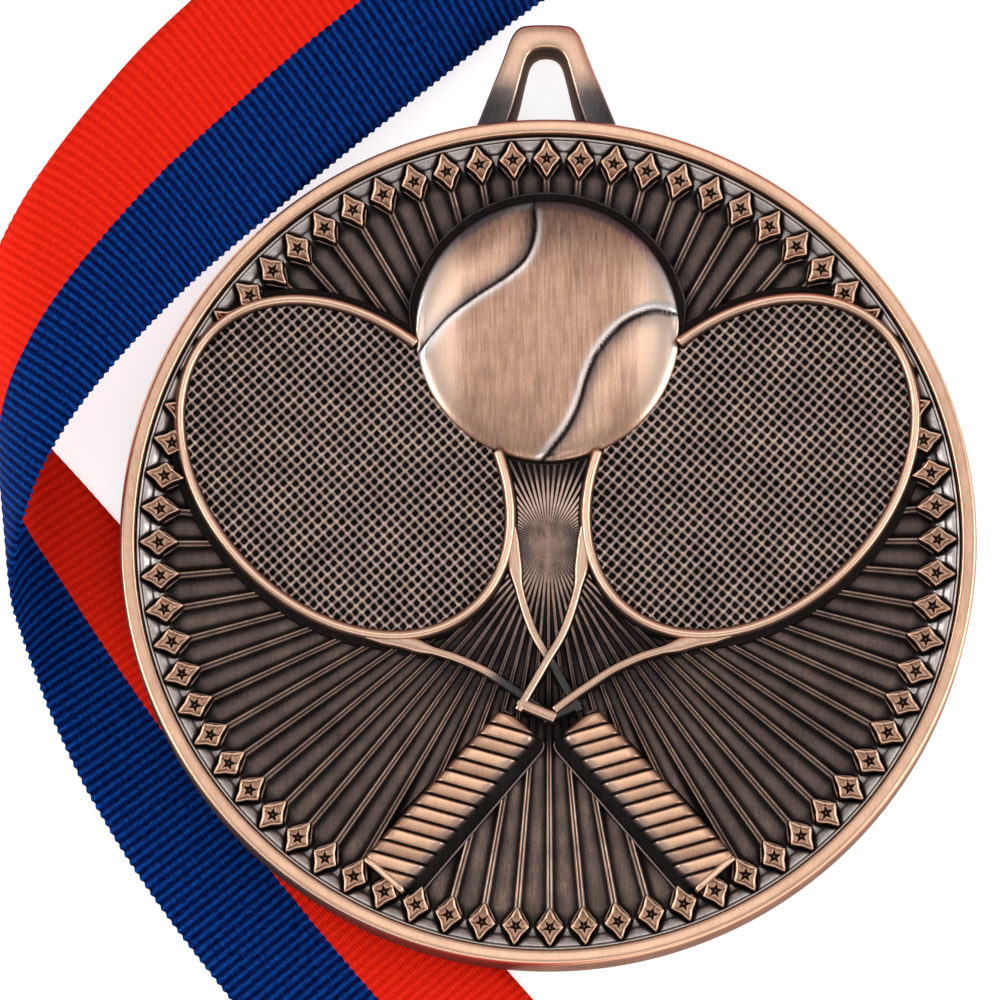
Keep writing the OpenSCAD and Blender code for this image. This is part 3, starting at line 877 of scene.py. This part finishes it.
# String beds
strings = {
    "pitch": 0.70,
    "low": 0.45,
    "high": 0.92,
    "phases": [0.0, 0.13, 0.24, 0.5, 0.76, 0.87],   # grid lines within one pitch
    "inset": 0.85,       # the bed ends this far inside the head's outline
    "weave": 0.05,       # how much the strings rise and dip
    "wearAndPaintedLight": 0.53,
    "grey": 0.45,
}


def makeStrings(name, side):
    # height = low + (high - low) max(s(p), s(q)); s is 1 on a string and 0 in a hole, p and q run along the
    # head's two axes
    spec = strings
    a, b = headSpec["a"] - spec["inset"], headSpec["b"] - spec["inset"]
    phases = np.array(spec["phases"])

    def ticks(reach):
        count = int(reach / spec["pitch"]) + 1
        return ((np.arange(-count, count + 1)[:, None] + phases[None, :]) * spec["pitch"]).ravel()

    def onString(values):
        phase = np.abs(np.mod(values / spec["pitch"] + 0.5, 1.0) - 0.5)
        return smoothStep(0.25, 0.125, phase)

    p, q = ticks(a), ticks(b)
    across, along = onString(p)[:, None], onString(q)[None, :]
    string = np.maximum(across, along)
    turn = math.pi / spec["pitch"]
    overUnder = np.cos(math.pi * np.round(p / spec["pitch"]))[:, None]
    weave = spec["weave"] * overUnder * np.cos(turn * q)[None, :]
    z = spec["low"] + (spec["high"] - spec["low"]) * string + weave * string
    wearAndPaintedLight = 0.05 + spec["wearAndPaintedLight"] * string + 0.14 * across * along
    flat = np.stack(np.broadcast_arrays(p[:, None], q[None, :]), axis=-1)
    inside = (flat[..., 0] / a) ** 2 + (flat[..., 1] / b) ** 2 < 1
    flat = turned(flat.reshape(-1, 2), headSpec["turn"]) + np.array([headSpec["x"], headSpec["y"]])
    use = inside.ravel() & (fromBall(flat[:, 0], flat[:, 1]) > -0.05)
    quads = gridFaces(len(p), len(q))
    quads = quads[use[quads].all(axis=1)]
    kept = np.unique(quads)
    number = np.zeros(len(flat), dtype=int)
    number[kept] = np.arange(len(kept))
    points = np.concatenate([mirrored(flat, side), fieldZ + z.reshape(-1, 1)], axis=-1)[kept]
    tints = {"wearAndPaintedLight": wearAndPaintedLight.ravel()[kept], "grey": np.full(len(kept), spec["grey"])}
    return putMesh(name, points, number[quads], np.zeros((0, 3)), darkCopper, tints, closed=False)


for side, bedName, nodeName in ((-1, "leftStrings", "left_string_bed"),
                                (1, "rightStrings", "right_string_bed")):
    bedPiece = makeStrings(bedName, side)
    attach(bedPiece, "medal")
    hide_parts(nodeName)
print("strings made")


# Throats
throat = {
    # middle lines; the arms leave the hoop along its own curve and end at the yoke over the grip
    "armUpper": [(3.12, 2.2), (3.02, 0.9), (2.86, -0.92), (2.56, -3.13), (2.02, -5.3), (1.34, -7.25),
                 (0.65, -8.6), (-0.04, -9.72), (-0.99, -11.37), (-2.09, -13.28), (-2.5, -14.0)],
    "armLower": [(15.2, -7.65), (13.8, -7.9), (12.5, -8.1), (11.37, -8.4), (10.13, -8.82), (9.0, -9.15),
                 (7.44, -9.65), (5.23, -10.67), (3.35, -11.9), (1.72, -13.03), (0.45, -14.0)],
    "yoke": [(-2.55, -13.35), (-2.16, -13.5), (-1.0, -14.0), (0.18, -14.5), (0.5, -14.65)],
    "halfWidth": 0.42,
    "startHigh": 1.50,
    "steps": 90,
    # times the half width at the hoop and at the end, and where along the arm it changes
    "taper": {"armUpper": (1.45, 0.82, 0.36), "armLower": (1.45, 0.82, 0.38), "yoke": (1.1, 1.1, 0.2)},
    # shares of the half width and of the height, wear
    "ridge": [(-1.75, 0.05, 0.), (-1.6, 0.30, .1), (-1.35, 0.30, 0.), (-1.12, 0.50, 0.), (-0.94, 0.86, .55),
              (-0.66, 0.985, 1.1), (0.0, 1.0, .78), (0.66, 0.985, 1.1), (0.94, 0.86, .55), (1.12, 0.50, 0.),
              (1.35, 0.30, 0.), (1.6, 0.30, .1), (1.75, 0.05, 0.)],
}


def makeThroat(name, side, high, shadedEnd):
    # three ridges: two arms and the short yoke between them; the last argument paints shade, darker and
    # greyer, on what lies past the crossing
    points, quads, tris, wearAndPaintedLight, grey = [], [], [], [], []
    shape = np.array(throat["ridge"])
    rows, cols = throat["steps"], len(shape)
    along = np.linspace(0, 1, rows)
    for key, (wideStart, wideEnd, split) in throat["taper"].items():
        path = mirrored(evenPath(curveThrough(throat[key], 300), rows), side)
        widths = wideEnd + (wideStart - wideEnd) * smoothStep(split, split - 0.12, along)
        widths = widths * (0.55 + 0.45 * smoothStep(0.0, 0.14, along))
        heights = high + (throat["startHigh"] - high) * smoothStep(0.55, 0.20, along) * (key != "yoke")
        grid = sweepProfile(path, shape, widths=throat["halfWidth"] * widths, heights=heights, base=fieldZ)
        shaded = shadedEnd * (1.0 if key == "yoke" else smoothStep(0.62, 0.78, along)[:, None])
        rowWearAndShade = np.clip(shape[None, :, 2] * (1 - 0.8 * shaded) + 0 * path[:, :1], 0, 1.1)
        wearAndPaintedLight.append(np.append(rowWearAndShade, [0.0, 0.0]))
        grey.append(np.append(0.15 + 0.7 * shaded + 0 * rowWearAndShade, [0.0, 0.0]))
        start = len(quads) * (rows * cols + 2)
        points += [grid.reshape(-1, 3), grid[[0, -1]].mean(axis=1)]
        quads.append(gridFaces(rows, cols, wrapCols=True, start=start))
        tris.append(endFans(rows, cols, start))
    return putMesh(name, np.vstack(points), np.vstack(quads), np.vstack(tris), rubbedCopper,
                   {"wearAndPaintedLight": np.concatenate(wearAndPaintedLight), "grey": np.concatenate(grey)})


for side, throatName, nodeName, high, shadedEnd in ((-1, "leftThroat", "left_throat", 1.25, 1.0),
                                                  (1, "rightThroat", "right_throat", 1.70, 0.0)):
    throatPiece = makeThroat(throatName, side, high, shadedEnd)
    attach(throatPiece, "medal")
    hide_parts(nodeName)
print("throats made")


# Grips and butt caps
grip = {
    "top": (-2.3, -14.9),
    "turn": -131.5,
    "length": 16.6,
    "widthTop": 3.7,
    "widthButt": 4.3,
    "height": 2.1,
    "bandPitch": 1.28,
    "slant": -0.50,
    "gapWidth": 0.080,   # of the dark line between two bands, as a share of their pitch
    "bandStep": 0.22,
    "rows": 236,
    "columns": 34,
    # below the crown: share of the half width, millimetres added, height, wear; a sunk black strip of painted
    # shade with a bright line beside it
    "foot": [(1.0, 0.02, 0.85, 0.), (1.0, 0.08, 0.74, 0.), (1.0, 0.93, 0.75, 0.), (1.0, 1.01, 0.83, .66),
             (1.0, 1.10, 0.77, .3), (1.0, 1.14, 0.05, 0.), (-1.02, -0.35, 0.05, 0.),
             (-1.02, 0.0, 0.42, .12), (-1.0, 0.0, 0.55, 0.)],
    "dullSide": 1.0,     # the side of the grip, across it, that is made darker and greyer
}


def gripPlace(s, n, side):
    # s along the grip from its top, n across it, both in millimetres
    flat = turned(np.stack([s, n], axis=-1).reshape(-1, 2), grip["turn"]) + np.array(grip["top"])
    return mirrored(flat, side).reshape(s.shape + (2,))


def makeGrip(name, side):
    # a flat-topped bar, (1 - |n|^7)^0.6 high; the tape's bands step up like shingles and slant across it
    spec = grip
    s = np.linspace(0, spec["length"], spec["rows"])[:, None]
    n = np.sin(np.linspace(-1, 1, spec["columns"]) * math.pi / 2)[None, :]
    halfWidth = (spec["widthTop"] + (spec["widthButt"] - spec["widthTop"]) * s / spec["length"]) / 2
    startRound = np.sqrt(np.clip(1 - (1 - np.clip(s / 0.9, 0, 1)) ** 2, 0.02, 1))
    wide = halfWidth * (0.72 + 0.28 * startRound)
    y = n * wide
    crown = (1 - np.abs(n) ** 7) ** 0.6
    turns = (s - spec["slant"] * y) / spec["bandPitch"] + 0.25      # bands passed since the grip's top
    phase = np.mod(turns, 1.0)
    band = smoothStep(0.0, 0.10, phase) * (1 - 0.35 * smoothStep(0.15, 0.97, phase))
    gap = bell(np.minimum(phase, 1 - phase), spec["gapWidth"])
    shade = 0.10 * np.sin(9.0 * np.floor(turns))                    # each band a little lighter or darker
    z = spec["height"] * (0.50 + 0.50 * startRound) * (0.50 + 0.44 * crown)
    z = np.minimum(z + spec["bandStep"] * band - 0.30 * gap - 0.1, spec["height"] + 0.02)
    wearAndPaintedLight = 0.34 + 0.62 * band * (0.30 + 0.70 * crown) + shade - 1.1 * gap
    wearAndPaintedLight = wearAndPaintedLight - 0.25 * smoothStep(0.55, 1.0, n * spec["dullSide"])
    grey = 0.35 * smoothStep(0.35, 1.0, n * spec["dullSide"]) + 0.20 * smoothStep(0.7, 1.0, phase)
    y = y * (1 + 0.05 * band)
    foot = np.array(spec["foot"])
    y = np.concatenate([y + 0 * s, foot[None, :, 0] * wide + foot[None, :, 1]], axis=1)
    z = np.concatenate([z, foot[None, :, 2] + 0 * s], axis=1)
    wearAndPaintedLight = np.concatenate([wearAndPaintedLight, foot[None, :, 3] + 0 * s], axis=1)
    grey = np.concatenate([grey, 0.5 + 0 * (foot[None, :, 3] + s)], axis=1)
    grid = lifted(gripPlace(s + 0 * y, y, side), fieldZ + z)
    return tubeMesh(name, grid, rubbedCopper, {"wearAndPaintedLight": np.clip(wearAndPaintedLight, 0, 1.1), "grey": grey})


def makeButtCap(name, side):
    # a rounded plate across the grip's end: cos^0.45 and sin^0.45 give its corners, and its edges are eased
    spec = grip
    s = spec["length"] + np.array([-0.05, 0.0, 0.06, 0.14, 0.24, 0.34, 0.42, 0.46, 0.46])[:, None]
    ease = np.array([0.90, 0.93, 0.97, 1.0, 1.0, 1.0, 0.985, 0.95, 0.90])[:, None]
    ring = polar(1.0, circleAngles(48))
    y, z = np.moveaxis(np.sign(ring) * np.abs(ring) ** 0.45, -1, 0)[:, None, :]
    y = y * (spec["widthButt"] / 2 + 0.02) * ease
    z = spec["height"] / 2 + z * (spec["height"] / 2) * ease
    wearAndPaintedLight = 0.25 + 0.75 * smoothStep(0.9, 1.9, z)
    grid = lifted(gripPlace(s + 0 * y, y, side), fieldZ + z)
    return tubeMesh(name, grid, rubbedCopper, {"wearAndPaintedLight": wearAndPaintedLight, "grey": 0 * wearAndPaintedLight + 0.1})


# The racket with its head on the right has its grip at the lower left
for side, gripName, capName, nodeSide in ((1, "leftGrip", "leftButtCap", "left"),
                                          (-1, "rightGrip", "rightButtCap", "right")):
    gripPiece = makeGrip(gripName, side)
    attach(gripPiece, "medal")
    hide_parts(nodeSide + "_grip")
    capPiece = makeButtCap(capName, side)
    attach(capPiece, "medal")
    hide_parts(nodeSide + "_butt_cap")
print("grips made")


# Ribbon
ribbon = {
    "thickness": 0.42,
    "length": 800.0,
    "ribPitch": 0.74,
    "ribDepth": 0.055,
    "selvage": 0.08,
    "columns": 15,
    "rollR": 15.4,
    "rollPitch": 1.1,
    "rollTurns": 11,         # at most; the length ends it sooner
    "rollLow": 0.3,
    "rollHigh": 20.2,
    "rollBearing": 45.0,     # degrees from the roll's start to its middle
    "specular": 0.02,
    "threads": 20.0 / 0.29,  # warp threads across the band
    "weights": (0.32, 0.08, 0.7, 1.1),    # of weft ribs (painted shade in the furrows, painted light on the ribs), warp threads, flecks and dashes in the colour
    # blue edge, then red edge, from the cut end to the start of the roll
    "route": [
        ((10.5, -79.9, 0.25), (25.2, -67.2, 0.25)), ((-4.1, -63.1, 0.25), (10.6, -50.8, 0.25)),
        ((-17.4, -47.6, 0.25), (-2.9, -35.3, 0.25)), ((-25.6, -37.7, 0.25), (-11.4, -25.5, 0.25)),
        ((-32.6, -28.4, 0.25), (-19.6, -15.8, 0.25)), ((-37.4, -20.7, 0.25), (-27, -7.2, 0.25)),
        ((-40.3, -14.8, 0.7), (-33, -0.2, 0.25)), ((-41.9, -10.7, 1.7), (-37.9, 5.5, 0.3)),
        ((-43, -7.5, 3.2), (-42.4, 10.4, 1.1)), ((-43.8, -4.6, 5.2), (-45.2, 14.4, 3.2)),
        ((-43.5, -1.4, 7.4), (-46, 18.2, 5.8)), ((-42.5, 2, 9.4), (-45.4, 22.2, 8.2)),
        ((-40.9, 5.6, 10.8), (-43.4, 26.3, 10.2)), ((-38.3, 9.7, 11.4), (-40.7, 30.5, 11.4)),
        ((-34.3, 14.9, 10.4), (-37.2, 35.1, 11.8)), ((-29, 21, 7.8), (-32.9, 40.1, 11.8)),
        ((-23.3, 26.5, 5.4), (-28, 45, 11.6)), ((-16.7, 32.3, 4), (-22.3, 50.3, 11.8)),
        ((-9.4, 38.4, 2.8), (-15.4, 55.2, 12.6)), ((-1.8, 44.7, 1.4), (-7, 58.9, 14.4)),
        ((5.9, 50, 0.5), (2.5, 60, 17.4)), ((13.4, 53.2, 0.3), (12, 58.2, 19.4)),
        ((19.8, 52.9, 0.3), (19.8, 53.1, 20.2))],
    "blue": (0.0015, 0.013, 0.110),
    "blueLit": (0.003, 0.066, 0.33),
    "red": (0.84, 0.016, 0.005),
    "redLit": (0.95, 0.03, 0.012),
}


def ribbonMaterial():
    # blue or red by the share across, with painted shade in the furrows between weft ribs and painted light
    # on the ribs, with fine warp threads
    spec = ribbon
    material, tree, shader = freshMaterial("ribbonWeave")
    uv = newNode(tree, "ShaderNodeUVMap", uv_map="weave").outputs[0]
    split = newNode(tree, "ShaderNodeSeparateXYZ")
    tree.links.new(uv, split.inputs[0])
    across, along = split.outputs[0], split.outputs[1]

    def wave(value, frequency):
        return mathNode(tree, "SINE", mathNode(tree, "MULTIPLY", value, 2 * math.pi * frequency))

    warp = wave(across, spec["threads"])
    weft = wave(mathNode(tree, "ADD", along, spec["ribPitch"] / 4), 1.0 / spec["ribPitch"])   # 1 on a rib
    fleck = noiseNode(tree, uv, (70.0, 0.9, 1.0), 4.0)
    dash = noiseNode(tree, uv, (34.0, 5.2, 1.0), 2.0)
    shade = weightedSum(tree, 0.5, *zip((weft, warp, fleck, dash), spec["weights"]), clamp=True)
    tones = []
    # each colour's darker copy is painted shade and its lit copy painted light
    for key, dark in (("blue", 0.18), ("red", 0.80)):
        colour = spec[key]
        stops = [(0.0, tuple(dark * v for v in colour)), (0.5, colour), (1.0, spec[key + "Lit"])]
        tones.append(rampNode(tree, shade, stops))
    line = weightedSum(tree, across, (fleck, 0.008), (weft, 0.002))
    half = mathNode(tree, "MULTIPLY", mathNode(tree, "SUBTRACT", line, 0.492), 400.0, clamp=True)
    mixColours(tree, half, *tones, shader.inputs["Base Color"])
    tree.links.new(weightedSum(tree, 0.62, (fleck, 0.2)), shader.inputs["Roughness"])
    addBump(tree, shader, weightedSum(tree, fleck, (warp, 0.5)), 0.6, 0.00005)
    shader.inputs["Specular IOR Level"].default_value = spec["specular"]
    return material


def ribbonMiddle():
    # the run is a cubic through the route's edge pairs; the roll is a spiral r = R - pitch x turns, on edge
    spec = ribbon
    pairs = curveThrough(spec["route"], 2400)
    run = np.linalg.norm(np.diff(pairs.mean(axis=1), axis=0), axis=1).sum()
    entry = pairs[-1].mean(axis=0)[:2]
    outward = math.radians(spec["rollBearing"])
    centre = entry + spec["rollR"] * np.array([math.cos(outward), math.sin(outward)])
    turn = np.linspace(0, 2 * math.pi * spec["rollTurns"], 9000)
    radius = spec["rollR"] - spec["rollPitch"] * turn / (2 * math.pi)
    angle = outward + math.pi + turn
    spiral = centre + polar(radius, angle)
    length = np.concatenate([[0], np.cumsum(np.linalg.norm(np.diff(spiral, axis=0), axis=1))])
    keep = (length < spec["length"] - run) & (radius > 3.0)
    spiral = spiral[keep][1:]
    standing = [lifted(spiral, np.full(len(spiral), z)) for z in (spec["rollLow"], spec["rollHigh"])]
    return np.concatenate([pairs, np.stack(standing, axis=1)]), run


def makeRibbon():
    # point (s, v) lies on the line between the two edges; each thread across meets the middle line squarely
    spec = ribbon
    pairs, run = ribbonMiddle()
    middle = pairs.mean(axis=1)
    s = np.concatenate([[0], np.cumsum(np.linalg.norm(np.diff(middle, axis=0), axis=1))])
    ahead = np.gradient(middle, s, axis=0)
    oblique = ((pairs[:, 1] - pairs[:, 0]) * ahead).sum(axis=1)
    oblique = np.convolve(np.pad(oblique, 40, mode="edge"), np.ones(81) / 81, mode="valid")
    # fine rows as far as the ribs are seen, coarse ones inside the roll
    fine = np.arange(0, run + 30.0, spec["ribPitch"] / 6)
    coarse = np.arange(fine[-1] + 1.1, s[-1], 1.1)
    rows = np.concatenate([fine, coarse, [s[-1]]])
    v = np.linspace(0, 1, spec["columns"])
    grid = np.zeros((len(rows), len(v), 3))
    for k, share in enumerate(v):
        own = np.maximum.accumulate(s + (share - 0.5) * oblique)
        t = np.interp(rows, own, np.arange(len(s)))
        edges = [np.interp(t, np.arange(len(s)), pairs[:, e, c]) for e in range(2) for c in range(3)]
        edgeA, edgeB = np.stack(edges[:3], axis=-1), np.stack(edges[3:], axis=-1)
        grid[:, k] = edgeA + (edgeB - edgeA) * share
    alongWay = np.gradient(grid, axis=0)
    acrossWay = np.gradient(grid, axis=1)
    normal = np.cross(acrossWay, alongWay)
    normal /= np.linalg.norm(normal, axis=-1)[..., None]
    acrossWay /= np.linalg.norm(acrossWay, axis=-1)[..., None]
    beat = np.cos(2 * math.pi * rows / spec["ribPitch"])[:, None]
    ease = smoothStep(run + 30.0, run + 24.0, rows)[:, None]
    rib = spec["ribDepth"] * beat * ease
    scallop = spec["selvage"] * (beat - 0.6) * ease
    waves = 0.10 * np.sin(rows / 6.1) + 0.07 * np.sin(rows / 2.7 + 1.0)
    grid[:, 0] -= acrossWay[:, 0] * scallop
    grid[:, -1] += acrossWay[:, -1] * (waves[:, None] - 0.15) * 0.6 * ease
    edgeThin = np.ones(len(v))
    edgeThin[[0, -1]] = 0.55
    halfThick = (spec["thickness"] / 2 * edgeThin[None, :] + rib)[..., None]
    upper = grid + normal * halfThick
    lower = grid - normal * halfThick
    ring = np.concatenate([upper, lower[:, ::-1]], axis=1)
    ring[..., 2] = np.maximum(ring[..., 2], 0.0)
    cols = ring.shape[1]
    uv = np.broadcast_arrays(np.append(v, v[::-1])[None, :], rows[:, None])
    uv = np.stack(uv, axis=-1).reshape(-1, 2)
    quads = gridFaces(len(rows), cols, wrapCols=True)
    k = np.arange(len(v) - 1)
    first = np.stack([k + 1, k, cols - 1 - k, cols - 2 - k], axis=-1)
    last = first[:, ::-1] + (len(rows) - 1) * cols
    print("ribbon length", round(float(s[-1]), 1), "run", round(float(run), 1))
    return putMesh("ribbonBand", ring.reshape(-1, 3), np.vstack([quads, first, last]), np.zeros((0, 3)),
                   ribbonMaterial(), {}, uv=uv)


ribbonBand = makeRibbon()
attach(ribbonBand, "ribbon")
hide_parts("ribbon_run", "ribbon_roll")
print("ribbon made")


# Table
table = {
    "half": 1500.0,     # half its side, in millimetres
    "drop": 0.05,       # below the ribbon
    "colour": (0.82, 0.82, 0.82),
    "glow": 0.62,
}


def makeTable():
    # a wide pale plane just below the ribbon
    half, z = table["half"], -table["drop"]
    corners = np.array([[-half, -half, z], [half, -half, z], [half, half, z], [-half, half, z]])
    material, tree, shader = freshMaterial("paleTable")
    shader.inputs["Base Color"].default_value = (*table["colour"], 1.0)
    shader.inputs["Emission Color"].default_value = (1.0, 1.0, 1.0, 1.0)
    shader.inputs["Emission Strength"].default_value = table["glow"]
    shader.inputs["Roughness"].default_value = 0.9
    shader.inputs["Specular IOR Level"].default_value = 0.1
    return putMesh("tableTop", corners, [[0, 1, 2, 3]], np.zeros((0, 3)), material, {}, closed=False)


makeTable()
print("table made")
